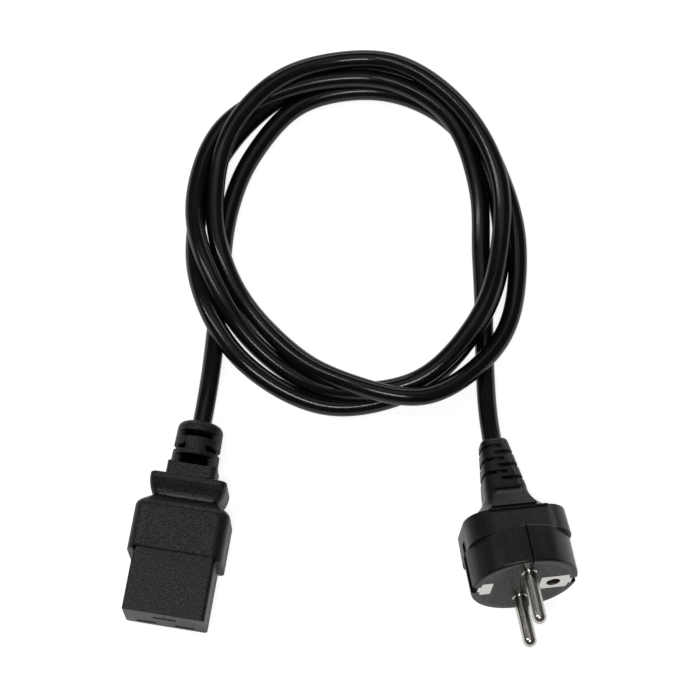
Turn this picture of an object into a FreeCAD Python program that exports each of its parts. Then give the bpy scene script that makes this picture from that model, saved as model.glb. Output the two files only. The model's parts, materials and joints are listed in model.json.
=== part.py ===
import FreeCAD, Part

# Mains lead: a moulded C19 appliance connector, a round flexible cord laid in a loose coil,
# and a moulded two-pin earthed plug.
#
# Part frame: millimetres, +Z up, the ground at z = 0. The connector lies along Y with its
# mating face towards -Y, and the origin is at the bottom centre of the connector's own box.
#
# Each moulded end is drawn in its own frame: z = 0 is the mating face, +z is the way that it
# plugs in, +y is its top, and everything behind the face has a negative z. Distances behind
# the face are called stations in the sheet.
import math
import os

import Sketcher

Vector = FreeCAD.Vector
Rotation = FreeCAD.Rotation

doc = FreeCAD.newDocument("C19Lead")

# ---------------------------------------------------------------------------
# Driving dimensions: alias, value in mm or degrees, what it is
# ---------------------------------------------------------------------------
CONNECTOR_SIZES = [
    ("block_width", 29.0, "contact carrier, across"),
    ("block_height", 20.6, "contact carrier, tall"),
    ("block_corner", 1.6, "contact carrier, corner radius"),
    ("block_back", 38.0, "station of the carrier's back"),
    ("block_edge", 0.5, "rounded edge round the mating face"),
    ("slot_pitch", 13.6, "line slot to neutral slot"),
    ("power_drop", 6.1, "line and neutral slots, below the middle"),
    ("earth_rise", 2.9, "earth slot, above the middle"),
    ("power_slot_width", 7.0, "line and neutral slot, long side"),
    ("earth_slot_width", 8.1, "earth slot, long side"),
    ("slot_height", 2.4, "all slots, short side"),
    ("slot_depth", 2.2, "front wall that the slots go through"),
    ("mark_rise", 6.0, "round mark on the mating face, above the middle"),
    ("mark_radius", 0.7, "round mark, radius"),
    ("mark_depth", 0.6, "round mark, deep"),
    ("contact_wall", 0.5, "folded contact sheet"),
    ("contact_gap", 2.6, "room for a blade inside a contact"),
    ("contact_length", 14.0, "folded sleeve of a contact"),
    ("contact_play", 0.1, "clearance between a contact and its chamber"),
    ("contact_link", 4.0, "strip between sleeve and crimp"),
    ("contact_link_width", 2.6, "width of that strip"),
    ("crimp_length", 7.0, "crimp barrel"),
    ("seam_width", 0.5, "open seam of the folded sheet"),
    ("grip_width", 33.4, "grip, across"),
    ("grip_height", 24.4, "grip, tall"),
    ("grip_corner", 4.5, "grip, corner radius"),
    ("skirt_front", 21.2, "station of the side skirts' front"),
    ("grip_front", 22.5, "station of the grip's top and bottom front edge"),
    ("grip_back", 37.4, "station where the shoulders start"),
    ("panel_width", 22.6, "shallow panel on the grip, across"),
    ("panel_length", 12.0, "shallow panel on the grip, along"),
    ("panel_depth", 0.3, "shallow panel, deep"),
    ("waist", 42.2, "station of the waist"),
    ("waist_width", 22.7, "waist, across"),
    ("waist_height", 16.8, "waist, tall"),
    ("waist_corner", 2.4, "waist, corner radius"),
    ("flange_width", 27.0, "flange, across"),
    ("flange_height", 23.0, "flange, tall"),
    ("flange_corner", 2.7, "flange, corner radius"),
    ("flange_front", 47.8, "station of the flange rim's front"),
    ("flange_back", 49.8, "station of the flange rim's back"),
    ("flange_edge", 0.6, "rounded back edge of the flange"),
    ("neck_width", 17.6, "neck, across"),
    ("neck_height", 15.4, "neck, tall"),
    ("neck_corner", 2.4, "neck, corner radius"),
    ("neck_back", 55.5, "station of the neck's back"),
    ("relief_root_radius", 8.5, "strain relief, radius at the neck"),
    ("relief_tip_radius", 8.1, "strain relief, radius at the cord"),
    ("relief_end", 71.5, "station of the strain relief's end"),
    ("relief_round", 2.6, "rounded end of the strain relief"),
    ("relief_core", 5.2, "solid core inside the side slots, radius"),
    ("relief_floor", 4.7, "flat floor of the top and bottom slots, from the middle"),
    ("relief_web", 7.6, "half width of the top and bottom slots"),
    ("relief_spine", 3.5, "half width of the web between the side slots"),
    ("slot_a_front", 55.0, "station of the wide slot"),
    ("slot_a_width", 3.8, "wide slot, along the cord"),
    ("slot_b_front", 60.5, "station of the side slots"),
    ("slot_b_width", 2.0, "side slots, along the cord"),
    ("slot_c_front", 65.1, "station of the end slot"),
    ("slot_c_width", 2.5, "end slot, along the cord"),
    ("connector_jacket", 49.0, "station of the jacket's end inside the connector"),
]
PLUG_SIZES = [
    ("disc_radius", 18.8, "plug's front disc"),
    ("disc_back", 14.3, "station of the disc's back edge"),
    ("disc_edge", 0.9, "rounded edges of the disc"),
    ("body_width", 36.4, "body behind the disc, across"),
    ("body_height", 31.0, "body behind the disc, tall"),
    ("body_corner", 9.0, "body behind the disc, corner radius"),
    ("body_back", 23.2, "station where the shoulders start"),
    ("crest_height", 28.4, "body at the crest, tall"),
    ("hip", 27.0, "station halfway down the shoulders"),
    ("hip_width", 25.0, "width there"),
    ("hip_height", 18.6, "height there"),
    ("loin", 31.0, "station near the foot of the shoulders"),
    ("loin_width", 18.0, "width there"),
    ("loin_height", 14.6, "height there"),
    ("tail_root", 36.0, "station of the strain relief's root"),
    ("tail_root_width", 15.2, "strain relief root, across"),
    ("tail_root_height", 12.8, "strain relief root, tall"),
    ("tail_root_corner", 3.4, "strain relief root, corner radius"),
    ("tail_end", 56.0, "station of the strain relief's end"),
    ("tail_end_width", 9.8, "strain relief end, across"),
    ("tail_end_height", 9.2, "strain relief end, tall"),
    ("tail_end_corner", 3.2, "strain relief end, corner radius"),
    ("tail_end_round", 1.4, "rounded edge of the end"),
    ("tail_slot_pitch", 5.4, "from slot to slot on one side"),
    ("tail_slot_width", 1.5, "slot, along the cord"),
    ("tail_slot_front", 51.6, "station of the last slot on the left"),
    ("tail_slot_reach", 1.5, "how far a slot passes the middle"),
    ("tail_core", 4.15, "solid core inside the slots, radius"),
    ("crest_width", 21.0, "raised line along the crest, across"),
    ("crest_line", 0.6, "raised line, high and wide"),
    ("panel_front", 26.0, "station of the sloping panel's wide end"),
    ("panel_back", 32.0, "station of the sloping panel's narrow end"),
    ("panel_front_width", 16.0, "sloping panel, across its wide end"),
    ("panel_back_width", 11.3, "sloping panel, across its narrow end"),
    ("panel_front_height", 10.9, "sloping panel's wide end, above the middle"),
    ("panel_back_height", 7.8, "sloping panel's narrow end, above the middle"),
    ("rib_width", 9.7, "low rib across the strain relief's root"),
    ("rib_front", 34.6, "station of that rib"),
    ("rib_height", 7.2, "that rib, above the middle"),
    ("flat_left", 8.5, "finger flat on the disc, its far edge from the middle"),
    ("flat_right", 2.6, "finger flat on the disc, its near edge from the middle"),
    ("flat_depth", 0.4, "finger flat on the disc, deep"),
    ("carrier_radius", 15.9, "pin carrier"),
    ("carrier_back", 10.0, "station of the pin carrier's back"),
    ("pin_pitch", 19.0, "pin to pin"),
    ("pin_radius", 2.4, "contact pin"),
    ("pin_length", 19.0, "pin, from the face to its tip"),
    ("foot_radius", 2.15, "turned groove at the pin's foot, radius"),
    ("foot_length", 0.6, "turned groove at the pin's foot, long"),
    ("neck_radius", 2.7, "pin's neck in the carrier's front wall"),
    ("root_radius", 2.9, "pin's root held in the carrier"),
    ("root_front", 1.0, "station where the root starts"),
    ("collar_radius", 3.2, "pin's collar behind the carrier"),
    ("collar_length", 1.5, "pin's collar"),
    ("shank_radius", 2.0, "pin's crimp barrel"),
    ("shank_length", 8.0, "pin's crimp barrel"),
    ("earth_offset", 10.2, "earth socket, from the middle of the face"),
    ("earth_bore", 2.45, "earth socket, radius"),
    ("socket_wall", 0.5, "earth socket sleeve"),
    ("socket_length", 13.0, "earth socket sleeve"),
    ("plate_thickness", 0.8, "earth strap sheet"),
    ("plate_half_height", 4.4, "half the earth plate"),
    ("plate_inner", 5.4, "earth plate's inner edge"),
    ("tab_half_height", 4.0, "half the small earth tab"),
    ("tab_inner", 11.7, "small tab's inner edge"),
    ("clip_half_width", 1.7, "half the side clip"),
    ("clip_length", 18.4, "side clip, along the plug"),
    ("groove_play", 0.25, "clip groove wider than the clip, each side"),
    ("strap_half_width", 2.6, "half the strap that joins the clips"),
    ("plug_jacket", 36.0, "station of the jacket's end inside the plug"),
]
CORD_SIZES = [
    ("cord_radius", 3.4, "outer jacket"),
    ("cord_lead", 7.8, "straight run of cord beyond each strain relief"),
    ("core_radius", 1.3, "insulated core"),
    ("core_circle", 1.65, "circle that the three cores lie on"),
    ("plug_x", 120.9, "middle of the plug's face"),
    ("plug_y", -5.1, "middle of the plug's face"),
    ("plug_heading", 19.3, "plug turned from the connector's direction, degrees"),
    ("plug_roll", 8.6, "plug rolled onto its side, degrees"),
    ("plug_tail_height", 9.9, "cord's height where it leaves the plug"),
    ("coil_x", 41.7, "middle of the coil"),
    ("coil_y", 119.5, "middle of the coil"),
    ("coil_turn", 9.3, "coil's long axis turned from Y, degrees"),
    ("coil_half_width", 62.4, "coil's outer half width"),
    ("coil_half_length", 71.0, "coil's outer half length"),
    ("coil_band", 20.0, "width of the band of turns"),
    ("coil_height", 20.0, "height of the turns laid on each other"),
    ("coil_bevel", 4.0, "bevelled edges of the band"),
]

sheet = doc.addObject("Spreadsheet::Sheet", "Sizes")
for row, (alias, value, note) in enumerate(CONNECTOR_SIZES + PLUG_SIZES + CORD_SIZES, start=1):
    sheet.set(f"A{row}", alias)
    sheet.set(f"B{row}", str(value))
    sheet.setAlias(f"B{row}", alias)
    sheet.set(f"C{row}", note)
doc.recompute()


def value_of(formula):
    """Number that a formula of sheet aliases comes to."""
    return float(sheet.evalExpression(formula))


# ---------------------------------------------------------------------------
# Sketches
# ---------------------------------------------------------------------------
def new_body(name):
    body = doc.addObject("PartDesign::Body", name)
    body.Label = name
    return body


def new_sketch(body, name, z="0", x="0", y="0", plane="XY_Plane"):
    """Sketch on one of the body's origin planes, moved by formulas."""
    support = next(f for f in body.Origin.OriginFeatures if f.Role == plane)
    sketch = body.newObject("Sketcher::SketchObject", name)
    sketch.AttachmentSupport = [(support, "")]
    sketch.MapMode = "FlatFace"
    for axis, formula in (("x", x), ("y", y), ("z", z)):
        sketch.setExpression(f"AttachmentOffset.Base.{axis}", formula)
    return sketch


def tie(sketch, constraint, formula):
    """Add a dimension to the sketch and bind it to the sheet."""
    index = sketch.addConstraint(constraint)
    name = f"size{index}"
    sketch.renameConstraint(index, name)
    sketch.setExpression(f"Constraints.{name}", formula)


def add_circle(sketch, radius):
    """Circle round the sketch's origin."""
    number = sketch.addGeometry(Part.Circle(Vector(), Vector(0, 0, 1), value_of(radius)))
    sketch.addConstraint(Sketcher.Constraint("Coincident", number, 3, -1, 1))
    tie(sketch, Sketcher.Constraint("Radius", number, value_of(radius)), radius)


def add_rectangle(sketch, width, height):
    """Plain rectangle centred on the sketch's origin."""
    w = value_of(width) / 2
    h = value_of(height) / 2
    corners = [Vector(-w, -h), Vector(w, -h), Vector(w, h), Vector(-w, h)]
    first = sketch.GeometryCount
    for start, end in zip(corners, corners[1:] + corners[:1]):
        sketch.addGeometry(Part.LineSegment(start, end))
    bottom, right, top, left = range(first, first + 4)
    for before, after in ((bottom, right), (right, top), (top, left), (left, bottom)):
        sketch.addConstraint(Sketcher.Constraint("Coincident", before, 2, after, 1))
    for line in (bottom, top):
        sketch.addConstraint(Sketcher.Constraint("Horizontal", line))
    for line in (right, left):
        sketch.addConstraint(Sketcher.Constraint("Vertical", line))
    sketch.addConstraint(Sketcher.Constraint("Symmetric", bottom, 1, top, 1, -1, 1))
    tie(sketch, Sketcher.Constraint("DistanceX", bottom, 1, bottom, 2, 2 * w), width)
    tie(sketch, Sketcher.Constraint("DistanceY", right, 1, right, 2, 2 * h), height)


def add_rounded_rectangle(sketch, width, height, corner):
    """Rectangle with four equal round corners, centred on the sketch's origin."""
    w = value_of(width) / 2
    h = value_of(height) / 2
    r = value_of(corner)
    up = Vector(0, 0, 1)
    runs = [
        (Vector(r - w, -h), Vector(w - r, -h), Vector(w - r, r - h), -90),
        (Vector(w, r - h), Vector(w, h - r), Vector(w - r, h - r), 0),
        (Vector(w - r, h), Vector(r - w, h), Vector(r - w, h - r), 90),
        (Vector(-w, h - r), Vector(-w, r - h), Vector(r - w, r - h), 180),
    ]
    for start, end, centre, angle in runs:
        sketch.addGeometry(Part.LineSegment(start, end))
        arc = Part.ArcOfCircle(Part.Circle(centre, up, r), math.radians(angle), math.radians(angle + 90))
        sketch.addGeometry(arc)
    for number in range(8):
        sketch.addConstraint(Sketcher.Constraint("Tangent", number, 2, (number + 1) % 8, 1))
    for line in (0, 4):
        sketch.addConstraint(Sketcher.Constraint("Horizontal", line))
    for line in (2, 6):
        sketch.addConstraint(Sketcher.Constraint("Vertical", line))
    for arc in (3, 5, 7):
        sketch.addConstraint(Sketcher.Constraint("Equal", 1, arc))
    sketch.addConstraint(Sketcher.Constraint("Symmetric", 0, 1, 4, 1, -1, 1))
    tie(sketch, Sketcher.Constraint("Radius", 1, r), corner)
    tie(sketch, Sketcher.Constraint("DistanceX", 6, 1, 2, 1, 2 * w), width)
    tie(sketch, Sketcher.Constraint("DistanceY", 0, 1, 4, 1, 2 * h), height)


def add_side_slot(sketch, side, edge, core, reach):
    """Everything on one side of the line x = edge, out to reach, that is clear of a round core.

    side is 1 for the slot that opens to +x and -1 for the one that opens to -x.
    """
    e = value_of(edge)
    c = value_of(core)
    far = side * value_of(reach)
    y = math.sqrt(c * c - e * e)
    path = [Vector(e, y), Vector(e, abs(far)), Vector(far, abs(far)), Vector(far, -abs(far))]
    path += [Vector(e, -abs(far)), Vector(e, -y)]
    for start, end in zip(path, path[1:]):
        sketch.addGeometry(Part.LineSegment(start, end))
    sketch.addGeometry(Part.Arc(path[-1], Vector(side * c, 0), path[0]))
    arc = 5
    start_end, last_end = (1, 2) if side > 0 else (2, 1)
    for number in range(4):
        sketch.addConstraint(Sketcher.Constraint("Coincident", number, 2, number + 1, 1))
    sketch.addConstraint(Sketcher.Constraint("Coincident", 4, 2, arc, start_end))
    sketch.addConstraint(Sketcher.Constraint("Coincident", arc, last_end, 0, 1))
    for line in (0, 4):
        sketch.addConstraint(Sketcher.Constraint("Vertical", line))
    for line in (1, 3):
        sketch.addConstraint(Sketcher.Constraint("Horizontal", line))
    sketch.addConstraint(Sketcher.Constraint("Vertical", 0, 1, 4, 2))
    sketch.addConstraint(Sketcher.Constraint("Coincident", arc, 3, -1, 1))
    sketch.addConstraint(Sketcher.Constraint("Symmetric", 1, 2, 2, 2, -1))
    tie(sketch, Sketcher.Constraint("Radius", arc, c), core)
    tie(sketch, Sketcher.Constraint("DistanceX", -1, 1, 0, 1, e), edge)
    tie(sketch, Sketcher.Constraint("DistanceX", -1, 1, 1, 2, far), f"{side} * ({reach})")
    tie(sketch, Sketcher.Constraint("DistanceY", 2, 2, 1, 2, 2 * abs(far)), f"2 * ({reach})")


def add_plate(sketch, side, inner, half_height, radius):
    """Plate from x = inner out to the rim circle, on the side given by 1 or -1."""
    x = side * value_of(inner)
    y = value_of(half_height)
    r = value_of(radius)
    rim = side * math.sqrt(r * r - y * y)
    sketch.addGeometry(Part.LineSegment(Vector(rim, y), Vector(x, y)))
    sketch.addGeometry(Part.LineSegment(Vector(x, y), Vector(x, -y)))
    sketch.addGeometry(Part.LineSegment(Vector(x, -y), Vector(rim, -y)))
    sketch.addGeometry(Part.Arc(Vector(rim, -y), Vector(side * r, 0), Vector(rim, y)))
    start_end, last_end = (1, 2) if side > 0 else (2, 1)
    sketch.addConstraint(Sketcher.Constraint("Coincident", 0, 2, 1, 1))
    sketch.addConstraint(Sketcher.Constraint("Coincident", 1, 2, 2, 1))
    sketch.addConstraint(Sketcher.Constraint("Coincident", 2, 2, 3, start_end))
    sketch.addConstraint(Sketcher.Constraint("Coincident", 3, last_end, 0, 1))
    sketch.addConstraint(Sketcher.Constraint("Horizontal", 0))
    sketch.addConstraint(Sketcher.Constraint("Horizontal", 2))
    sketch.addConstraint(Sketcher.Constraint("Symmetric", 1, 1, 1, 2, -1))
    sketch.addConstraint(Sketcher.Constraint("Coincident", 3, 3, -1, 1))
    tie(sketch, Sketcher.Constraint("Radius", 3, r), radius)
    tie(sketch, Sketcher.Constraint("DistanceX", -1, 1, 1, 1, x), f"{side} * ({inner})")
    tie(sketch, Sketcher.Constraint("DistanceY", 1, 2, 1, 1, 2 * y), f"2 * ({half_height})")


# ---------------------------------------------------------------------------
# Features
# ---------------------------------------------------------------------------
def pad(body, sketch, length, forward=False):
    """Material from the sketch, backwards from the mating face unless forward is true."""
    feature = body.newObject("PartDesign::Pad", sketch.Name + "_pad")
    feature.Profile = sketch
    feature.setExpression("Length", length)
    feature.Reversed = not forward
    return feature


def pocket(body, sketch, length, forward=False):
    """Cut from the sketch, backwards from the mating face unless forward is true."""
    feature = body.newObject("PartDesign::Pocket", sketch.Name + "_cut")
    feature.Profile = sketch
    feature.setExpression("Length", length)
    feature.Reversed = forward
    return feature


def loft(body, name, sketches, ruled=False):
    feature = body.newObject("PartDesign::AdditiveLoft", name)
    feature.Profile = sketches[0]
    feature.Sections = sketches[1:]
    feature.Ruled = ruled
    return feature


def rounded_section(body, name, station, width, height, corner):
    sketch = new_sketch(body, name, z=f"-({station})")
    add_rounded_rectangle(sketch, width, height, corner)
    return sketch


def round_edges(body, name, radius, wanted):
    """Fillet every edge of the body so far whose box passes the test."""
    doc.recompute()
    base = body.Tip
    names = [f"Edge{i}" for i, edge in enumerate(base.Shape.Edges, start=1) if wanted(edge.BoundBox)]
    feature = body.newObject("PartDesign::Fillet", name)
    feature.Base = (base, names)
    feature.setExpression("Radius", radius)
    return feature


def at_station(station):
    """Test for edges that lie wholly at one station."""
    z = -value_of(station)
    return lambda box: abs(box.ZMin - z) < 0.01 and abs(box.ZMax - z) < 0.01


def cut_away(name, base, tools):
    """Base moulded round the tools."""
    fused = tools[0]
    if len(tools) > 1:
        fused = doc.addObject("Part::MultiFuse", name + "_inside")
        fused.Shapes = tools
    result = doc.addObject("Part::Cut", name)
    result.Label = name
    result.Base = base
    result.Tool = fused
    return result


# ---------------------------------------------------------------------------
# Connector: contact carrier and its contacts
# ---------------------------------------------------------------------------
CONTACTS = {
    "line": ("-Sizes.slot_pitch / 2", "-Sizes.power_drop", "Sizes.power_slot_width"),
    "neutral": ("Sizes.slot_pitch / 2", "-Sizes.power_drop", "Sizes.power_slot_width"),
    "earth": ("0", "Sizes.earth_rise", "Sizes.earth_slot_width"),
}
CORE_ANGLES = {
    "connector": {"line": 210, "neutral": 330, "earth": 90},
    "plug": {"line": 90, "neutral": 330, "earth": 210},
}
CHAMBER_HEIGHT = "(Sizes.contact_gap + 2 * Sizes.contact_wall + 2 * Sizes.contact_play)"
CONTACT_BACK = "(Sizes.slot_depth + Sizes.contact_length)"
CRIMP_FRONT = "(Sizes.slot_depth + Sizes.contact_length + Sizes.contact_link)"


def contact_carrier():
    """Hard block that fills the appliance inlet, with a slot and a chamber for each contact."""
    body = new_body("contact_carrier")
    outline = rounded_section(body, "carrier_outline", "0", "Sizes.block_width", "Sizes.block_height",
                              "Sizes.block_corner")
    pad(body, outline, "Sizes.block_back")
    round_edges(body, "carrier_front_round", "Sizes.block_edge", at_station("0"))
    for name, (x, y, width) in CONTACTS.items():
        slot = new_sketch(body, f"carrier_{name}_slot", x=x, y=y)
        add_rectangle(slot, width, "Sizes.slot_height")
        pocket(body, slot, "Sizes.slot_depth")
        chamber = new_sketch(body, f"carrier_{name}_chamber", x=x, y=y, z="-Sizes.slot_depth")
        add_rectangle(chamber, f"{width} + 2 * Sizes.contact_wall", CHAMBER_HEIGHT)
        pocket(body, chamber, "Sizes.block_back - Sizes.slot_depth")
    mark = new_sketch(body, "carrier_mark", y="Sizes.mark_rise")
    add_circle(mark, "Sizes.mark_radius")
    pocket(body, mark, "Sizes.mark_depth")
    return body


def female_contact(name):
    """Sheet folded into a sleeve round the blade, with a strip back to a round crimp."""
    x, y, slot_width = CONTACTS[name]
    body = new_body(f"{name}_contact")
    sleeve = new_sketch(body, f"{name}_sleeve", x=x, y=y, z="-Sizes.slot_depth")
    add_rectangle(sleeve, f"{slot_width} + 2 * Sizes.contact_wall - 2 * Sizes.contact_play",
                  "Sizes.contact_gap + 2 * Sizes.contact_wall")
    pad(body, sleeve, "Sizes.contact_length")
    inside = new_sketch(body, f"{name}_sleeve_inside", x=x, y=y, z="-Sizes.slot_depth")
    add_rectangle(inside, f"{slot_width} - 2 * Sizes.contact_play", "Sizes.contact_gap")
    pocket(body, inside, "Sizes.contact_length")
    seam = new_sketch(body, f"{name}_seam", x=x, z="-Sizes.slot_depth",
                      y=f"{y} - (Sizes.contact_gap + Sizes.contact_wall) / 2")
    add_rectangle(seam, "Sizes.seam_width", "2 * Sizes.contact_wall")
    pocket(body, seam, "Sizes.contact_length")
    link = new_sketch(body, f"{name}_link", x=x, z=f"-({CONTACT_BACK} - 1)",
                      y=f"{y} + (Sizes.contact_gap + Sizes.contact_wall) / 2")
    add_rectangle(link, "Sizes.contact_link_width", "Sizes.contact_wall")
    pad(body, link, "Sizes.contact_link + 2")
    crimp = new_sketch(body, f"{name}_crimp", x=x, y=y, z=f"-{CRIMP_FRONT}")
    add_circle(crimp, "Sizes.core_radius + Sizes.contact_wall")
    add_circle(crimp, "Sizes.core_radius")
    pad(body, crimp, "Sizes.crimp_length")
    return body


def round_bar(name, radius, front, back):
    """Plain round bar about the cord's axis between two stations."""
    body = new_body(name)
    circle = new_sketch(body, f"{name}_circle", z=f"-({front})")
    add_circle(circle, radius)
    pad(body, circle, f"{back} - ({front})")
    return body


def insulated_core(name, start, front, turn, jacket):
    """Core that runs straight back from its crimp, then slants to its place in the jacket.

    start is the crimp's place across the face, front the station of the core's end in the
    crimp, turn the station where it leaves the straight, jacket that of the jacket's end.
    """
    x, y = start
    end_name, core, _ = name.split("_")
    angle = CORE_ANGLES[end_name][core]
    body = new_body(name)
    straight = new_sketch(body, f"{name}_straight", x=x, y=y, z=f"-({front})")
    add_circle(straight, "Sizes.core_radius")
    pad(body, straight, f"{turn} - ({front})")
    bend = new_sketch(body, f"{name}_bend", x=x, y=y, z=f"-({turn})")
    add_circle(bend, "Sizes.core_radius")
    end = new_sketch(body, f"{name}_end", z=f"-({jacket})", x=f"Sizes.core_circle * cos({angle} deg)",
                     y=f"Sizes.core_circle * sin({angle} deg)")
    add_circle(end, "Sizes.core_radius")
    loft(body, f"{name}_slant", [bend, end], ruled=True)
    return body


# ---------------------------------------------------------------------------
# Connector: overmould
# ---------------------------------------------------------------------------
def between(near, far, share):
    """Formula for a size part of the way from one size to another."""
    return f"({near} + {share} * ({far} - {near}))"


def connector_shoulders(body):
    """The grip draws in to the waist: a rounded start, then a straight slope."""
    sections = []
    steps = ((0, 0), (0.16, 0.04), (0.31, 0.13), (0.45, 0.26), (0.6, 0.45), (1, 1))
    for number, (along, drop) in enumerate(steps):
        sections.append(rounded_section(
            body, f"shoulder_{number}",
            between("Sizes.grip_back", "Sizes.waist", along),
            between("Sizes.grip_width", "Sizes.waist_width", drop),
            between("Sizes.grip_height", "Sizes.waist_height", drop),
            between("Sizes.grip_corner", "Sizes.waist_corner", drop)))
    loft(body, "shoulders", sections, ruled=True)


def connector_flare(body):
    """The waist opens to the flange in a dish: quickly across, slowly in height."""
    sections = []
    steps = ((0, 0, 0), (0.15, 0.36, 0.08), (0.32, 0.62, 0.22), (0.52, 0.8, 0.44), (0.75, 0.93, 0.72), (1, 1, 1))
    for number, (along, across, tall) in enumerate(steps):
        sections.append(rounded_section(
            body, f"flare_{number}",
            between("Sizes.waist", "Sizes.flange_front", along),
            between("Sizes.waist_width", "Sizes.flange_width", across),
            between("Sizes.waist_height", "Sizes.flange_height", tall),
            between("Sizes.waist_corner", "Sizes.flange_corner", tall)))
    loft(body, "flare", sections, ruled=True)


def connector_relief(body):
    """Round strain relief with a rounded end, turned about the cord."""
    profile = new_sketch(body, "relief_profile", plane="XZ_Plane")
    root = value_of("Sizes.relief_root_radius")
    tip = value_of("Sizes.relief_tip_radius")
    front = -value_of("Sizes.neck_back")
    end = -value_of("Sizes.relief_end")
    r = value_of("Sizes.relief_round")
    diagonal = r * math.sqrt(0.5)
    points = [Vector(0, front), Vector(root, front), Vector(tip, end + r), Vector(tip - r, end), Vector(0, end)]
    profile.addGeometry(Part.LineSegment(points[0], points[1]))
    profile.addGeometry(Part.LineSegment(points[1], points[2]))
    middle = Vector(tip - r + diagonal, end + r - diagonal)
    profile.addGeometry(Part.Arc(points[2], middle, points[3]))
    profile.addGeometry(Part.LineSegment(points[3], points[4]))
    profile.addGeometry(Part.LineSegment(points[4], points[0]))
    for before, pos, after, after_pos in ((0, 2, 1, 1), (1, 2, 2, 2), (2, 1, 3, 1), (3, 2, 4, 1), (4, 2, 0, 1)):
        profile.addConstraint(Sketcher.Constraint("Coincident", before, pos, after, after_pos))
    profile.addConstraint(Sketcher.Constraint("Horizontal", 0))
    profile.addConstraint(Sketcher.Constraint("Horizontal", 3))
    profile.addConstraint(Sketcher.Constraint("PointOnObject", 0, 1, -2))
    profile.addConstraint(Sketcher.Constraint("PointOnObject", 3, 2, -2))
    tie(profile, Sketcher.Constraint("DistanceX", 0, 1, 0, 2, root), "Sizes.relief_root_radius")
    tie(profile, Sketcher.Constraint("DistanceX", -1, 1, 1, 2, tip), "Sizes.relief_tip_radius")
    tie(profile, Sketcher.Constraint("DistanceY", -1, 1, 0, 2, front), "-Sizes.neck_back")
    profile.addConstraint(Sketcher.Constraint("Vertical", 2, 3, 3, 1))
    tie(profile, Sketcher.Constraint("DistanceX", -1, 1, 2, 3, tip - r),
        "Sizes.relief_tip_radius - Sizes.relief_round")
    tie(profile, Sketcher.Constraint("DistanceY", -1, 1, 2, 3, end + r),
        "Sizes.relief_round - Sizes.relief_end")
    tie(profile, Sketcher.Constraint("DistanceY", -1, 1, 1, 2, end + r),
        "Sizes.relief_round - Sizes.relief_end")
    turned = body.newObject("PartDesign::Revolution", "relief")
    turned.Profile = profile
    turned.ReferenceAxis = (profile, ["V_Axis"])
    turned.Angle = 360
    for name, station, length in (
        ("wide_slot", "Sizes.slot_a_front", "Sizes.slot_a_width"),
        ("end_slot", "Sizes.slot_c_front", "Sizes.slot_c_width"),
    ):
        for level, side in (("top", 1), ("bottom", -1)):
            slot = new_sketch(body, f"{name}_{level}", z=f"-{station}",
                              y=f"{side} * (Sizes.relief_floor + Sizes.relief_root_radius)")
            add_rectangle(slot, "2 * Sizes.relief_web", "2 * Sizes.relief_root_radius")
            pocket(body, slot, length)
    for name, side in (("left_slot", -1), ("right_slot", 1)):
        slot = new_sketch(body, name, z="-Sizes.slot_b_front")
        add_side_slot(slot, side, f"{side} * Sizes.relief_spine", "Sizes.relief_core", "Sizes.neck_width")
        pocket(body, slot, "Sizes.slot_b_width")


def connector_overmould(inside):
    """Soft moulding: grip with side skirts, waist, flange, neck and slotted strain relief."""
    body = new_body("connector_form")
    grip = rounded_section(body, "grip", "Sizes.skirt_front", "Sizes.grip_width", "Sizes.grip_height",
                           "Sizes.grip_corner")
    pad(body, grip, "Sizes.grip_back - Sizes.skirt_front")
    connector_shoulders(body)
    connector_flare(body)
    rim = rounded_section(body, "flange_rim", "Sizes.flange_front", "Sizes.flange_width",
                          "Sizes.flange_height", "Sizes.flange_corner")
    pad(body, rim, "Sizes.flange_back - Sizes.flange_front")
    round_edges(body, "flange_round", "Sizes.flange_edge", at_station("Sizes.flange_back"))
    neck = rounded_section(body, "neck", "Sizes.flange_back", "Sizes.neck_width", "Sizes.neck_height",
                           "Sizes.neck_corner")
    pad(body, neck, "Sizes.neck_back - Sizes.flange_back")
    connector_relief(body)
    step = new_sketch(body, "grip_step", z="-Sizes.skirt_front")
    add_rectangle(step, "Sizes.block_width", "2 * Sizes.grip_height")
    pocket(body, step, "Sizes.grip_front - Sizes.skirt_front")
    panel = new_sketch(body, "grip_panel", plane="XZ_Plane", z="-Sizes.grip_height / 2",
                       y="-(Sizes.grip_back - 0.5 - Sizes.panel_length / 2)")
    add_rectangle(panel, "Sizes.panel_width", "Sizes.panel_length")
    pocket(body, panel, "Sizes.panel_depth", forward=True)
    return cut_away("connector_overmould", body, inside)


# ---------------------------------------------------------------------------
# Plug
# ---------------------------------------------------------------------------
FLAT_HEIGHT = "(sqrt(Sizes.disc_radius^2 - Sizes.flat_left^2) / 2 + sqrt(Sizes.disc_radius^2 - Sizes.flat_right^2) / 2" \
    " - Sizes.flat_depth)"
PINS = {"line": "Sizes.pin_pitch / 2", "neutral": "-Sizes.pin_pitch / 2"}


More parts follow.
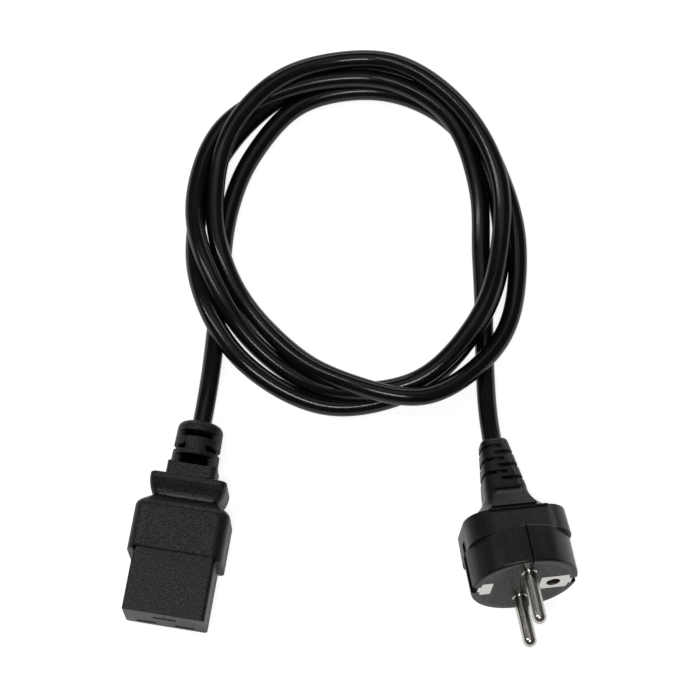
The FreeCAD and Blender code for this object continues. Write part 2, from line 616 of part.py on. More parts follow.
def contact_pin(name):
    """Solid turned pin: round tip, grooved foot, neck and root in the carrier, collar, crimp barrel."""
    body = new_body(f"{name}_pin")
    y = PINS[name]
    for part, station, radius, length in (
        ("barrel", "-(Sizes.pin_length - Sizes.pin_radius)", "Sizes.pin_radius",
         "Sizes.pin_length - Sizes.pin_radius - Sizes.foot_length"),
        ("foot", "-Sizes.foot_length", "Sizes.foot_radius", "2 * Sizes.foot_length"),
        ("neck", "0", "Sizes.neck_radius", "Sizes.carrier_back"),
        ("root", "Sizes.root_front", "Sizes.root_radius", "Sizes.carrier_back - Sizes.root_front"),
        ("collar", "Sizes.carrier_back", "Sizes.collar_radius", "Sizes.collar_length"),
        ("shank", "Sizes.carrier_back + Sizes.collar_length", "Sizes.shank_radius", "Sizes.shank_length"),
    ):
        sketch = new_sketch(body, f"{name}_{part}", z=f"-({station})", y=y)
        add_circle(sketch, radius)
        pad(body, sketch, length)
    tip = new_sketch(body, f"{name}_tip", plane="XZ_Plane", z=f"-({y})", y="Sizes.pin_length - Sizes.pin_radius")
    r = value_of("Sizes.pin_radius")
    tip.addGeometry(Part.LineSegment(Vector(0, 0), Vector(r, 0)))
    tip.addGeometry(Part.Arc(Vector(r, 0), Vector(r * math.sqrt(0.5), r * math.sqrt(0.5)), Vector(0, r)))
    tip.addGeometry(Part.LineSegment(Vector(0, r), Vector(0, 0)))
    tip.addConstraint(Sketcher.Constraint("Coincident", 0, 2, 1, 1))
    tip.addConstraint(Sketcher.Constraint("Coincident", 1, 2, 2, 1))
    tip.addConstraint(Sketcher.Constraint("Coincident", 2, 2, 0, 1))
    tip.addConstraint(Sketcher.Constraint("Coincident", 0, 1, -1, 1))
    tip.addConstraint(Sketcher.Constraint("Coincident", 1, 3, -1, 1))
    tip.addConstraint(Sketcher.Constraint("Horizontal", 0))
    tip.addConstraint(Sketcher.Constraint("Vertical", 2))
    tie(tip, Sketcher.Constraint("DistanceX", 0, 1, 0, 2, r), "Sizes.pin_radius")
    turned = body.newObject("PartDesign::Revolution", f"{name}_tip_round")
    turned.Profile = tip
    turned.ReferenceAxis = (tip, ["V_Axis"])
    turned.Angle = 360
    bore = new_sketch(body, f"{name}_bore", y=y,
                      z="-(Sizes.carrier_back + Sizes.collar_length + Sizes.shank_length)")
    add_circle(bore, "Sizes.core_radius")
    pocket(body, bore, "Sizes.shank_length - 1", forward=True)
    return body


def earth_strap():
    """One bent sheet: face plate, small tab, two side clips and the strap that joins them."""
    body = new_body("earth_strap")
    clip_back = "Sizes.clip_length"
    for name, side, inner, half in (
        ("plate", 1, "Sizes.plate_inner", "Sizes.plate_half_height"),
        ("tab", -1, "Sizes.tab_inner", "Sizes.tab_half_height"),
    ):
        clip = new_sketch(body, f"{name}_clip", x=f"{side} * (Sizes.carrier_radius + Sizes.plate_thickness / 2)")
        add_rectangle(clip, "Sizes.plate_thickness", "2 * Sizes.clip_half_width")
        pad(body, clip, clip_back)
        if side > 0:
            strap = new_sketch(body, "strap", z=f"-({clip_back} - Sizes.plate_thickness)")
            add_rectangle(strap, "2 * (Sizes.carrier_radius + Sizes.plate_thickness)", "2 * Sizes.strap_half_width")
            pad(body, strap, "Sizes.plate_thickness")
        tongue = new_sketch(body, f"{name}_tongue",
                            x=f"{side} * (Sizes.carrier_radius + Sizes.plate_thickness - 1.5)")
        add_rectangle(tongue, "3", "2 * Sizes.clip_half_width")
        pad(body, tongue, "Sizes.plate_thickness")
        plate = new_sketch(body, f"{name}_face")
        add_plate(plate, side, inner, half, "Sizes.carrier_radius")
        pad(body, plate, "Sizes.plate_thickness")
    hole = new_sketch(body, "plate_hole", x="Sizes.earth_offset")
    add_circle(hole, "Sizes.earth_bore")
    pocket(body, hole, "Sizes.plate_thickness")
    return body


def earth_socket():
    """Sleeve behind the plate's hole, split so that it grips the pin of a wall socket."""
    body = new_body("earth_socket")
    sleeve = new_sketch(body, "socket_sleeve", x="Sizes.earth_offset", z="-Sizes.plate_thickness")
    add_circle(sleeve, "Sizes.earth_bore + Sizes.socket_wall")
    add_circle(sleeve, "Sizes.earth_bore")
    pad(body, sleeve, "Sizes.socket_length")
    slit = new_sketch(body, "socket_slit", x="Sizes.earth_offset",
                      z="-(Sizes.plate_thickness + Sizes.socket_length / 2)")
    add_rectangle(slit, "2 * (Sizes.earth_bore + 2 * Sizes.socket_wall)", "Sizes.seam_width")
    pocket(body, slit, "Sizes.socket_length")
    return body


def open_earth_socket(body, name):
    """Clear the way for the wall socket's earth pin, down to the sleeve's end."""
    bore = new_sketch(body, name, x="Sizes.earth_offset")
    add_circle(bore, "Sizes.earth_bore")
    pocket(body, bore, "Sizes.plate_thickness + Sizes.socket_length")


def pin_carrier(inside):
    """Hard disc that holds the pins and the earth strap, flush with the plug's face."""
    body = new_body("carrier_disc")
    disc = new_sketch(body, "pin_disc")
    add_circle(disc, "Sizes.carrier_radius")
    pad(body, disc, "Sizes.carrier_back")
    open_earth_socket(body, "carrier_socket_bore")
    return cut_away("pin_carrier", body, inside)


def plug_shoulders(body):
    """Body behind the disc, then shoulders that sweep in to the strain relief's root."""
    front = rounded_section(body, "body_front", "Sizes.disc_back - 1", "Sizes.body_width",
                            "Sizes.body_height", "Sizes.body_corner")
    back = rounded_section(body, "body_back_section", "Sizes.body_back", "Sizes.body_width",
                           "Sizes.crest_height", "Sizes.body_corner")
    loft(body, "plug_body", [front, back], ruled=True)
    sections = [back]
    for name, corner_share in (("hip", 0.6), ("loin", 0.25)):
        corner = between("Sizes.tail_root_corner", "Sizes.body_corner", corner_share)
        sections.append(rounded_section(body, f"{name}_section", f"Sizes.{name}", f"Sizes.{name}_width",
                                        f"Sizes.{name}_height", corner))
    root = rounded_section(body, "tail_root_section", "Sizes.tail_root", "Sizes.tail_root_width",
                           "Sizes.tail_root_height", "Sizes.tail_root_corner")
    loft(body, "plug_shoulder", sections + [root])
    end = rounded_section(body, "tail_end_section", "Sizes.tail_end", "Sizes.tail_end_width",
                          "Sizes.tail_end_height", "Sizes.tail_end_corner")
    loft(body, "plug_tail_relief", [root, end], ruled=True)
    round_edges(body, "tail_round", "Sizes.tail_end_round", at_station("Sizes.tail_end"))


def plug_top(body):
    """Raised line on the crest, sloping panel behind it, low rib, and a finger flat on the disc."""
    line = new_sketch(body, "crest_line_sketch", z="-(Sizes.body_back - Sizes.crest_line)",
                      y="Sizes.crest_height / 2")
    add_rectangle(line, "Sizes.crest_width", "2 * Sizes.crest_line")
    pad(body, line, "Sizes.crest_line")
    ends = []
    for end in ("front", "back"):
        name = f"panel_{end}"
        section = new_sketch(body, f"{name}_sketch", z=f"-Sizes.{name}", y=f"Sizes.{name}_height - 2")
        add_rectangle(section, f"Sizes.{name}_width", "4")
        ends.append(section)
    loft(body, "sloping_panel", ends, ruled=True)
    rib = new_sketch(body, "root_rib", z="-Sizes.rib_front", y="Sizes.rib_height - 1.5")
    add_rectangle(rib, "Sizes.rib_width", "3")
    pad(body, rib, "Sizes.crest_line")
    flat = new_sketch(body, "finger_flat", z="-Sizes.disc_edge", x="-(Sizes.flat_left + Sizes.flat_right) / 2",
                      y=f"{FLAT_HEIGHT} + 1.5")
    add_rectangle(flat, "Sizes.flat_left - Sizes.flat_right", "3")
    turned = math.degrees(math.asin(value_of("(Sizes.flat_left + Sizes.flat_right) / 2 / Sizes.disc_radius")))
    flat.AttachmentOffset = FreeCAD.Placement(flat.AttachmentOffset.Base, Rotation(Vector(0, 0, 1), turned))
    pocket(body, flat, "Sizes.disc_back - Sizes.disc_edge")


def plug_slots(body):
    """Slots that cut into the strain relief from the left and the right in turn."""
    for number in range(3):
        for side, shift in ((-1, 0), (1, 0.5)):
            name = f"tail_slot_{number}_{'left' if side < 0 else 'right'}"
            station = f"(Sizes.tail_slot_front - ({number} + {shift}) * Sizes.tail_slot_pitch)"
            slot = new_sketch(body, name, z=f"-{station}")
            add_side_slot(slot, side, f"{-side} * Sizes.tail_slot_reach", "Sizes.tail_core", "Sizes.body_width / 2")
            pocket(body, slot, "Sizes.tail_slot_width")


def plug_overmould(inside):
    """Soft moulding round the carrier: disc with clip grooves, body, shoulders, strain relief."""
    body = new_body("plug_form")
    disc = new_sketch(body, "disc")
    add_circle(disc, "Sizes.disc_radius")
    pad(body, disc, "Sizes.disc_back")
    round_edges(body, "disc_round", "Sizes.disc_edge", lambda box: box.XLength > 10)
    plug_shoulders(body)
    plug_top(body)
    plug_slots(body)
    for name, side in (("left", -1), ("right", 1)):
        groove = new_sketch(body, f"clip_groove_{name}", x=f"{side} * (Sizes.carrier_radius + 5)")
        add_rectangle(groove, "10", "2 * (Sizes.clip_half_width + Sizes.groove_play)")
        pocket(body, groove, "Sizes.clip_length")
    open_earth_socket(body, "plug_socket_bore")
    return cut_away("plug_overmould", body, inside)


# ---------------------------------------------------------------------------
# Placing the two ends
# ---------------------------------------------------------------------------
def pitch_of_plug():
    """Nose-up angle: the disc's back edge on the ground, the cord at its stated height at the tail."""
    radius = value_of("Sizes.disc_radius")
    length = value_of("Sizes.tail_end - Sizes.disc_back")
    height = value_of("Sizes.plug_tail_height")
    return math.acos(height / math.hypot(radius, length)) - math.atan2(length, radius)


def laid_down(nose_up=0.0, roll=0.0, heading=0.0):
    """Turn from the drawing frame to the ground: +y up and +z towards -Y, then heading."""
    tilt = Rotation(Vector(1, 0, 0), 90 - math.degrees(nose_up))
    return Rotation(Vector(0, 0, 1), heading) * tilt * Rotation(Vector(0, 0, 1), -roll)


def box_after(shapes, rotation):
    box = FreeCAD.BoundBox()
    for shape in shapes:
        turned = shape.copy()
        turned.Placement = FreeCAD.Placement(Vector(), rotation)
        box.add(turned.optimalBoundingBox(False, False))
    return box


# ---------------------------------------------------------------------------
# Cord
# ---------------------------------------------------------------------------
def rounded_route(points):
    """Straight runs joined by tangent arcs; each arc is as large as its two runs allow."""
    edges = []
    radii = []
    last = points[0]
    for before, corner, after in zip(points, points[1:], points[2:]):
        back = (before - corner).normalize()
        ahead = (after - corner).normalize()
        turn = math.pi - back.getAngle(ahead)
        reach = 0.45 * min((before - corner).Length, (after - corner).Length)
        radius = reach / math.tan(turn / 2)
        start = corner + back * reach
        end = corner + ahead * reach
        inward = (back + ahead).normalize()
        middle = corner + inward * (radius / math.cos(turn / 2) - radius)
        edges.append(Part.LineSegment(last, start).toShape())
        edges.append(Part.Arc(start, middle, end).toShape())
        radii.append(radius)
        last = end
    edges.append(Part.LineSegment(last, points[-1]).toShape())
    return Part.Wire(edges), radii


def cord_tube(name, points):
    """Round tube along a rounded route."""
    radius = value_of("Sizes.cord_radius")
    path, radii = rounded_route(points)
    section = Part.Wire(Part.Circle(points[0], points[1] - points[0], radius).toShape())
    shape = path.makePipeShell([section], True, True)
    print(f"{name}: {path.Length:.1f} mm, radii", [round(r) for r in radii],
          f"volume {shape.Volume:.1f} for {math.pi * radius ** 2 * path.Length:.1f}")
    tube = doc.addObject("Part::Feature", name + "_run")
    tube.Shape = shape
    return tube


def oval_section(body, name, height, inset):
    """Level ellipse, longer along y; inset is how far it lies inside the coil's outline."""
    sketch = new_sketch(body, name, z=height)
    a = value_of(f"Sizes.coil_half_length - ({inset})")
    b = value_of(f"Sizes.coil_half_width - ({inset})")
    sketch.addGeometry(Part.Ellipse(Vector(0, a, 0), Vector(b, 0, 0), Vector(0, 0, 0)))
    sketch.exposeInternalGeometry(0)
    sketch.addConstraint(Sketcher.Constraint("Coincident", 0, 3, -1, 1))
    sketch.addConstraint(Sketcher.Constraint("PointOnObject", 1, 1, -2))
    long_axis = Sketcher.Constraint("Distance", 1, 1, 1, 2, 2 * a)
    short_axis = Sketcher.Constraint("Distance", 2, 1, 2, 2, 2 * b)
    tie(sketch, long_axis, f"2 * (Sizes.coil_half_length - ({inset}))")
    tie(sketch, short_axis, f"2 * (Sizes.coil_half_width - ({inset}))")
    return sketch


def cord_coil():
    """Outer shape of the loose coil: an oval band with bevelled edges, flat on the ground."""
    body = new_body("cord_coil")
    levels = (
        ("0", "Sizes.coil_bevel"),
        ("Sizes.coil_bevel", "0"),
        ("Sizes.coil_height - Sizes.coil_bevel", "0"),
        ("Sizes.coil_height", "Sizes.coil_bevel"),
    )
    outside = []
    inside = []
    for number, (height, bevel) in enumerate(levels):
        outside.append(oval_section(body, f"coil_outside_{number}", height, bevel))
        inside.append(oval_section(body, f"coil_inside_{number}", height, f"Sizes.coil_band - {bevel}"))
    loft(body, "coil_outside", outside, ruled=True)
    middle = body.newObject("PartDesign::SubtractiveLoft", "coil_middle")
    middle.Profile = inside[0]
    middle.Sections = inside[1:]
    middle.Ruled = True
    return body


# ---------------------------------------------------------------------------
# Build
# ---------------------------------------------------------------------------
carrier = contact_carrier()
connector_contacts = [female_contact(name) for name in CONTACTS]
connector_cores = []
for core_name, (core_x, core_y, _) in CONTACTS.items():
    connector_cores.append(insulated_core(f"connector_{core_name}_core", (core_x, core_y), f"{CRIMP_FRONT} + 1",
                                          "Sizes.block_back", "Sizes.connector_jacket"))
connector_jacket = round_bar("connector_jacket_end", "Sizes.cord_radius", "Sizes.connector_jacket",
                             "Sizes.relief_end")
block_solid = new_body("block_solid")
block_outline = rounded_section(block_solid, "block_outline", "0", "Sizes.block_width", "Sizes.block_height",
                                "Sizes.block_corner")
pad(block_solid, block_outline, "Sizes.block_back")
connector_mould = connector_overmould([block_solid, connector_jacket] + connector_cores)

pins = [contact_pin(name) for name in PINS]
strap = earth_strap()
socket = earth_socket()
plug_back = "(Sizes.carrier_back + Sizes.collar_length + Sizes.shank_length)"
plug_cores = []
for core_name, pin_y in PINS.items():
    plug_cores.append(insulated_core(f"plug_{core_name}_core", ("0", pin_y), f"{plug_back} - Sizes.shank_length + 1",
                                     f"{plug_back}", "Sizes.plug_jacket"))
plug_cores.append(insulated_core("plug_earth_core", ("0", "0"), "Sizes.clip_length",
                                 "Sizes.clip_length + 3", "Sizes.plug_jacket"))
plug_jacket = round_bar("plug_jacket_end", "Sizes.cord_radius", "Sizes.plug_jacket", "Sizes.tail_end")
face_carrier = pin_carrier(pins + [strap, socket])
carrier_solid = round_bar("carrier_solid", "Sizes.carrier_radius", "0", "Sizes.carrier_back")
plug_mould = plug_overmould([carrier_solid, plug_jacket, strap, socket] + pins + plug_cores)

coil = cord_coil()
doc.recompute()

connector_parts = [carrier] + connector_contacts + connector_cores + [connector_jacket]
plug_parts = pins + [strap, socket] + plug_cores + [plug_jacket]
nodes = [connector_mould, carrier] + connector_contacts + connector_cores + [connector_jacket]
nodes += [plug_mould, face_carrier] + plug_parts + [coil]

# Each body is turned and set down. The moulded pieces follow, because they are cut from placed bodies.
connector_turn = laid_down()
connector_box = box_after([connector_mould.Shape, carrier.Shape], connector_turn)
connector_place = FreeCAD.Placement(
    Vector(-connector_box.Center.x, -connector_box.Center.y, -connector_box.ZMin), connector_turn)
plug_turn = laid_down(pitch_of_plug(), value_of("Sizes.plug_roll"), value_of("Sizes.plug_heading"))
plug_box = box_after([plug_mould.Shape], plug_turn)
plug_place = FreeCAD.Placement(
    Vector(value_of("Sizes.plug_x"), value_of("Sizes.plug_y"), -plug_box.ZMin), plug_turn)
for part in [connector_mould.Base, block_solid] + connector_parts:
    part.Placement = connector_place
for part in [plug_mould.Base, face_carrier.Base, carrier_solid] + plug_parts:
    part.Placement = plug_place
coil.Placement = FreeCAD.Placement(
    Vector(value_of("Sizes.coil_x"), value_of("Sizes.coil_y"), 0),
    Rotation(Vector(0, 0, 1), value_of("Sizes.coil_turn")))
doc.recompute()

# Route of the cord from each strain relief, first straight on, then down to the ground and
# into the band of turns.
CORD_RUNS = (
    ("connector_tail", connector_place, "Sizes.relief_end", (
        (-0.4, 52.0, 10.7), (-1.0, 60.5, 7.6), (-1.6, 69.0, 4.8), (-2.2, 77.5, 3.4), (-2.9, 86.0, 3.4),
    )),
    ("plug_tail", plug_place, "Sizes.tail_end", (
        (98.3, 61.5, 5.8), (97.0, 70.0, 3.9), (95.5, 79.0, 3.4), (94.0, 88.0, 3.4), (91.9, 96.5, 3.4),
    )),
)
for name, place, end_station, route in CORD_RUNS:
    station = value_of(end_station)
    lead = value_of("Sizes.cord_lead")
    start = [place.multVec(Vector(0, 0, -station)), place.multVec(Vector(0, 0, -station - lead))]
    tube = cord_tube(name, start + [Vector(*point) for point in route])
    trimmed = doc.addObject("Part::Cut", name)
    trimmed.Label = name
    trimmed.Base = tube
    trimmed.Tool = coil
    nodes.append(trimmed)
doc.recompute()

# ---------------------------------------------------------------------------
# Checks and export
# ---------------------------------------------------------------------------
for item in doc.Objects:
    if "Invalid" in item.State or "Error" in item.State:
        raise RuntimeError(f"{item.Name} is {item.State}")
    if item.TypeId in ("PartDesign::Pocket", "PartDesign::SubtractiveLoft"):
        if item.Shape.Volume > item.BaseFeature.Shape.Volume - 0.01:
            raise RuntimeError(f"{item.Name} cuts nothing")

os.makedirs("parts", exist_ok=True)
facets = 0
for node in nodes:
    name = node.Label
    shape = node.Shape
    if shape.isNull() or not shape.isValid() or not shape.Solids:
        raise RuntimeError(f"{name} has no valid shape")
    shape.exportStep(f"parts/{name}.step")
    count = len(shape.tessellate(0.2)[1])
    facets += count
    print(f"{name}: {len(shape.Solids)} solid, {shape.Volume:.1f} mm3, about {count} facets")
print(f"{len(nodes)} nodes, about {facets} facets")
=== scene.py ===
# %% [markdown]
# # C19 mains lead
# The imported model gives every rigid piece. This notebook adds the real cord in place of its
# simple CAD stand-ins, gives each piece its material, and lights it on a white ground.
#
# All places are in the part's own frame, in metres: +Z up, the appliance connector along Y with
# its face towards -Y. Sizes below are written in millimetres and turned into metres by `mm`.

# %%
import json
import math

import bpy
import numpy as np
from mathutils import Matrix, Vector


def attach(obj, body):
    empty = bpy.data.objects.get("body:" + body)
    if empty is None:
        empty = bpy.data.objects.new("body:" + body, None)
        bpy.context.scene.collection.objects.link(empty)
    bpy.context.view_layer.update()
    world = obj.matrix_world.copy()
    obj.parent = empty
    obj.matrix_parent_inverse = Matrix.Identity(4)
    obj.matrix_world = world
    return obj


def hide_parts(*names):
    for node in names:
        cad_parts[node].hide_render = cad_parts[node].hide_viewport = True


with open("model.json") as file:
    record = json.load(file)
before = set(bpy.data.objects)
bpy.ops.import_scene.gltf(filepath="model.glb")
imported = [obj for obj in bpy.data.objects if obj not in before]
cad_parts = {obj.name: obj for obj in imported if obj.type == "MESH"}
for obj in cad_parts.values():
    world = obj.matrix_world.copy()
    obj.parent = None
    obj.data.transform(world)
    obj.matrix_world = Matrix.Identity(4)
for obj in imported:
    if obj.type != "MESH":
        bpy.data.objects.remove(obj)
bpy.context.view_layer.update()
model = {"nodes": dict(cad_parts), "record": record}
nodes = model["nodes"]
print("CAD nodes:", len(nodes))


def mm(*values):
    """Millimetres to metres: one number, or a point."""
    if len(values) == 1:
        return values[0] / 1000
    return Vector([value / 1000 for value in values])


# %% [markdown]
# ## Materials
# Colours are sRGB hex, turned to linear by one function. `add` makes a shader node with its
# settings and links in one line. Pattern scales follow the real grain: a scale of `1 / mm(0.4)`
# gives grains about 0.4 mm across. Two masks are placed by position: painted shade deep in the
# connector's slots, and the plug's parting line, which has no shape behind it.

# %%
PATCH_MM = 14  # size of the patches of gloss on moulded plastic
GLOSS_SWING = 0.05  # roughness up and down in those patches
NOISE_LOW, NOISE_HIGH = 0.35, 0.65  # the part of a noise texture's range that is used
# black of the painted shade deep in the relief's slots, and of the plug's parting line
SLOT_SHADE_AND_SEAM_BLACK = "#040404"
STREAK_STRETCH = 0.06  # pattern scale along a metal's streaks, against 1 across them
MARKS_MM = 5  # size of the handling marks on metal
MARKS_DULLING = 0.1  # roughness that those marks add
STRIPE_MM = 9  # length of a stripe on the earth core
EDGE_BLUR = mm(0.2)

# The slots in the connector's strain relief, which lies along Y round `RELIEF_AXIS`: the first
# slot's front, the last one's back, and the radii where the painted shade is full and where it
# ends.
RELIEF_AXIS = mm(0, 0, 12.2)
SLOTS_FRONT, SLOTS_BACK = mm(19.2), mm(31.9)
RELIEF_DEEP, RELIEF_SKIN = mm(6.6), mm(7.8)

# The plug's front disc: the middle of its face, its directions, and its depth.
PLUG_FACE = mm(120.9, -5.1, 21.2)
PLUG_AHEAD = (0.3236, -0.9240, 0.2039)
PLUG_ACROSS = (0.9433, 0.2980, -0.1464)
DISC_DEPTH = mm(14.3)
PARTING_HALF_WIDTH = mm(0.35)


def linear(hex_colour):
    """sRGB hex to linear RGBA."""
    channels = [int(hex_colour[i : i + 2], 16) / 255 for i in (1, 3, 5)]
    curve = [c / 12.92 if c <= 0.04045 else ((c + 0.055) / 1.055) ** 2.4 for c in channels]
    return (*curve, 1.0)


def add(tree, kind, inputs=None, **settings):
    """Shader node with its settings; an input may be a value or another node's output socket."""
    node = tree.nodes.new(kind)
    for name, value in settings.items():
        setattr(node, name, value)
    for name, value in (inputs or {}).items():
        if isinstance(value, bpy.types.NodeSocket):
            tree.links.new(value, node.inputs[name])
        else:
            node.inputs[name].default_value = value
    return node


def new_material(name):
    """Empty material with an output and object coordinates ready."""
    material = bpy.data.materials.new(name)
    material.use_nodes = True
    tree = material.node_tree
    tree.nodes.clear()
    return material, tree, add(tree, "ShaderNodeTexCoord").outputs["Object"]


def finish_material(tree, shader):
    output = add(tree, "ShaderNodeOutputMaterial")
    tree.links.new(shader.outputs[0], output.inputs["Surface"])


def painted_slot_shade(tree, place):
    """Painted shade: 1 deep inside the slots of the connector's strain relief, 0 at its skin.

    The modelled slots are shallow pockets. In the picture they are dark to the bottom.
    """
    offset = add(tree, "ShaderNodeVectorMath", {0: place, 1: RELIEF_AXIS}, operation="SUBTRACT")
    radial = add(tree, "ShaderNodeVectorMath", {0: offset.outputs["Vector"], 1: (1, 0, 1)},
                 operation="MULTIPLY")
    radius = add(tree, "ShaderNodeVectorMath", {0: radial.outputs["Vector"]}, operation="LENGTH")
    deep = add(tree, "ShaderNodeMapRange", {
        "Value": radius.outputs["Value"], "From Min": RELIEF_DEEP, "From Max": RELIEF_SKIN,
        "To Min": 1.0, "To Max": 0.0})
    split = add(tree, "ShaderNodeSeparateXYZ", {"Vector": place})
    for edge, blur in ((SLOTS_FRONT, EDGE_BLUR), (SLOTS_BACK, -EDGE_BLUR)):
        within = add(tree, "ShaderNodeMapRange", {
            "Value": split.outputs["Y"], "From Min": edge - blur, "From Max": edge + blur})
        deep = add(tree, "ShaderNodeMath", {0: deep.outputs[0], 1: within.outputs["Result"]},
                   operation="MULTIPLY")
    return deep.outputs[0]


def parting_line(tree, place):
    """1 in a thin band over the plug's front disc, drawn where the picture shows a parting line."""
    offset = add(tree, "ShaderNodeVectorMath", {0: place, 1: PLUG_FACE}, operation="SUBTRACT")
    side = add(tree, "ShaderNodeVectorMath", {0: offset.outputs["Vector"], 1: PLUG_ACROSS},
               operation="DOT_PRODUCT")
    aside = add(tree, "ShaderNodeMath", {0: side.outputs["Value"]}, operation="ABSOLUTE")
    band = add(tree, "ShaderNodeMapRange", {
        "Value": aside.outputs["Value"], "From Min": PARTING_HALF_WIDTH,
        "From Max": PARTING_HALF_WIDTH - EDGE_BLUR})
    ahead = add(tree, "ShaderNodeVectorMath", {0: offset.outputs["Vector"], 1: PLUG_AHEAD},
                operation="DOT_PRODUCT")
    disc = add(tree, "ShaderNodeMapRange", {
        "Value": ahead.outputs["Value"], "From Min": -DISC_DEPTH - EDGE_BLUR,
        "From Max": -DISC_DEPTH + EDGE_BLUR})
    line = add(tree, "ShaderNodeMath", {0: band.outputs["Result"], 1: disc.outputs["Result"]},
               operation="MULTIPLY")
    return line.outputs["Value"]


def darken(tree, shader, colour, shine, where):
    """Make the shader's surface black and dull where the mask is 1: painted shade in the relief's
    slots, and the plug's parting line.
    """
    tone = add(tree, "ShaderNodeMix", {"Factor": where}, data_type="RGBA")
    tone.inputs["A"].default_value = linear(colour)
    tone.inputs["B"].default_value = linear(SLOT_SHADE_AND_SEAM_BLACK)
    elsewhere = add(tree, "ShaderNodeMath", {0: 1.0, 1: where}, operation="SUBTRACT")
    level = add(tree, "ShaderNodeMath", {0: shine, 1: elsewhere.outputs["Value"]},
                operation="MULTIPLY")
    tree.links.new(tone.outputs["Result"], shader.inputs["Base Color"])
    tree.links.new(level.outputs["Value"], shader.inputs["Specular IOR Level"])


def moulded(name, colour, rough, grain_mm, grain_height, speckle=0.0, slot_shade_and_seam_mask=None):
    """Moulded plastic: even grain, patches of gloss, and a speckle from light in the grain."""
    material, tree, place = new_material(name)
    grain = add(tree, "ShaderNodeTexNoise", {
        "Vector": place, "Scale": 1 / mm(grain_mm), "Detail": 2.0})
    clouds = add(tree, "ShaderNodeTexNoise", {
        "Vector": place, "Scale": 1 / mm(PATCH_MM), "Detail": 4.0})
    gloss = add(tree, "ShaderNodeMapRange", {
        "Value": clouds.outputs["Fac"], "From Min": NOISE_LOW, "From Max": NOISE_HIGH,
        "To Min": rough - GLOSS_SWING, "To Max": rough + GLOSS_SWING})
    caught = add(tree, "ShaderNodeMapRange", {
        "Value": grain.outputs["Fac"], "From Min": NOISE_LOW, "From Max": NOISE_HIGH,
        "To Min": 0.5 - speckle, "To Max": 0.5 + speckle})
    bump = add(tree, "ShaderNodeBump", {
        "Height": grain.outputs["Fac"], "Distance": mm(grain_height), "Strength": 1.0})
    shader = add(tree, "ShaderNodeBsdfPrincipled", {
        "Base Color": linear(colour), "Roughness": gloss.outputs["Result"],
        "Specular IOR Level": caught.outputs["Result"], "Normal": bump.outputs["Normal"]})
    # Painted shade deep in the relief's slots for the overmould; the dark parting line for the
    # plug.
    if slot_shade_and_seam_mask:
        darken(tree, shader, colour, caught.outputs["Result"], slot_shade_and_seam_mask(tree, place))
    finish_material(tree, shader)
    return material


def metal(name, colour, rough, streak_mm, streak_axis, streak_height):
    """Bright metal with fine streaks along one axis and faint handling marks."""
    material, tree, place = new_material(name)
    stretch = [1.0, 1.0, 1.0]
    stretch[streak_axis] = STREAK_STRETCH
    streaks = add(tree, "ShaderNodeMapping", {"Vector": place, "Scale": stretch})
    noise = add(tree, "ShaderNodeTexNoise", {
        "Vector": streaks.outputs["Vector"], "Scale": 1 / mm(streak_mm), "Detail": 2.0})
    marks = add(tree, "ShaderNodeTexNoise", {
        "Vector": place, "Scale": 1 / mm(MARKS_MM), "Detail": 5.0})
    dull = add(tree, "ShaderNodeMapRange", {
        "Value": marks.outputs["Fac"], "From Min": 0.4, "From Max": 0.7,
        "To Min": rough, "To Max": rough + MARKS_DULLING})
    bump = add(tree, "ShaderNodeBump", {
        "Height": noise.outputs["Fac"], "Distance": mm(streak_height), "Strength": 0.5})
    shader = add(tree, "ShaderNodeBsdfPrincipled", {
        "Base Color": linear(colour), "Metallic": 1.0, "Roughness": dull.outputs["Result"],
        "Normal": bump.outputs["Normal"]})
    finish_material(tree, shader)
    return material


def striped_core(name, colour, stripe):
    """Extruded core insulation in two colours, as earth wires have."""
    material, tree, place = new_material(name)
    bands = add(tree, "ShaderNodeTexWave", {
        "Vector": place, "Scale": 1 / mm(STRIPE_MM), "Distortion": 0.3})
    mix = add(tree, "ShaderNodeMix", {"Factor": bands.outputs["Fac"]}, data_type="RGBA")
    mix.inputs["A"].default_value = linear(colour)
    mix.inputs["B"].default_value = linear(stripe)
    shader = add(tree, "ShaderNodeBsdfPrincipled", {
        "Base Color": mix.outputs["Result"], "Roughness": 0.35})
    finish_material(tree, shader)
    return material


finishes = {
    # The overmould carries painted shade deep in its relief's slots.
    "overmould": moulded("moulded grained black flexible PVC", "#191916", 0.45, 0.55, 0.06,
                         speckle=0.3, slot_shade_and_seam_mask=painted_slot_shade),
    "plug": moulded("moulded satin black flexible PVC", "#1b1b18", 0.32, 0.5, 0.02,
                    speckle=0.15, slot_shade_and_seam_mask=parting_line),
    "carrier": moulded("moulded grained black nylon", "#1c1c19", 0.42, 0.55, 0.05, speckle=0.3),
    "jacket": moulded("extruded semi-gloss black PVC jacket", "#0f0f0c", 0.2, 8, 0.004),
    "contact": metal("stamped bright tinned brass", "#cdb98a", 0.25, 0.25, 2, 0.004),
    "pin": metal("turned and nickel-plated brass", "#e2dfd6", 0.16, 0.2, 2, 0.002),
    "strap": metal("rolled and tinned steel strip", "#f2f2ee", 0.3, 0.2, 0, 0.003),
    "line_core": moulded("extruded brown PVC insulation", "#5a3418", 0.35, 0.6, 0.01),
    "neutral_core": moulded("extruded blue PVC insulation", "#1d4c9c", 0.35, 0.6, 0.01),
    "earth_core": striped_core("extruded green and yellow PVC insulation", "#2f7a32", "#d8c52a"),
}
own_finish = {"plug_overmould": "plug"}
for entry in model["record"]["subparts"]:
    finish = own_finish.get(entry["node"], entry["material_slot"])
    mesh = nodes[entry["node"]].data
    mesh.materials.clear()
    mesh.materials.append(finishes[finish])
print("materials:", ", ".join(material.name for material in finishes.values()))

# %% [markdown]
# ## The cord
# One round cord of 6.8 mm runs from the connector's strain relief, three and a half times round
# the coil, and out to the plug. The coil is a loose one, so every turn has its own size.
# `TURNS` gives, for each turn, twelve places going clockwise from the lower left: how far the
# cord is from the coil's middle, and its place in the stack, where a higher number lies on top
# of a lower one. `settle` then works out the heights. It leaves the turns sunk into each other,
# by 2.2 mm at the worst place, where the first turn ends over the run from the connector.

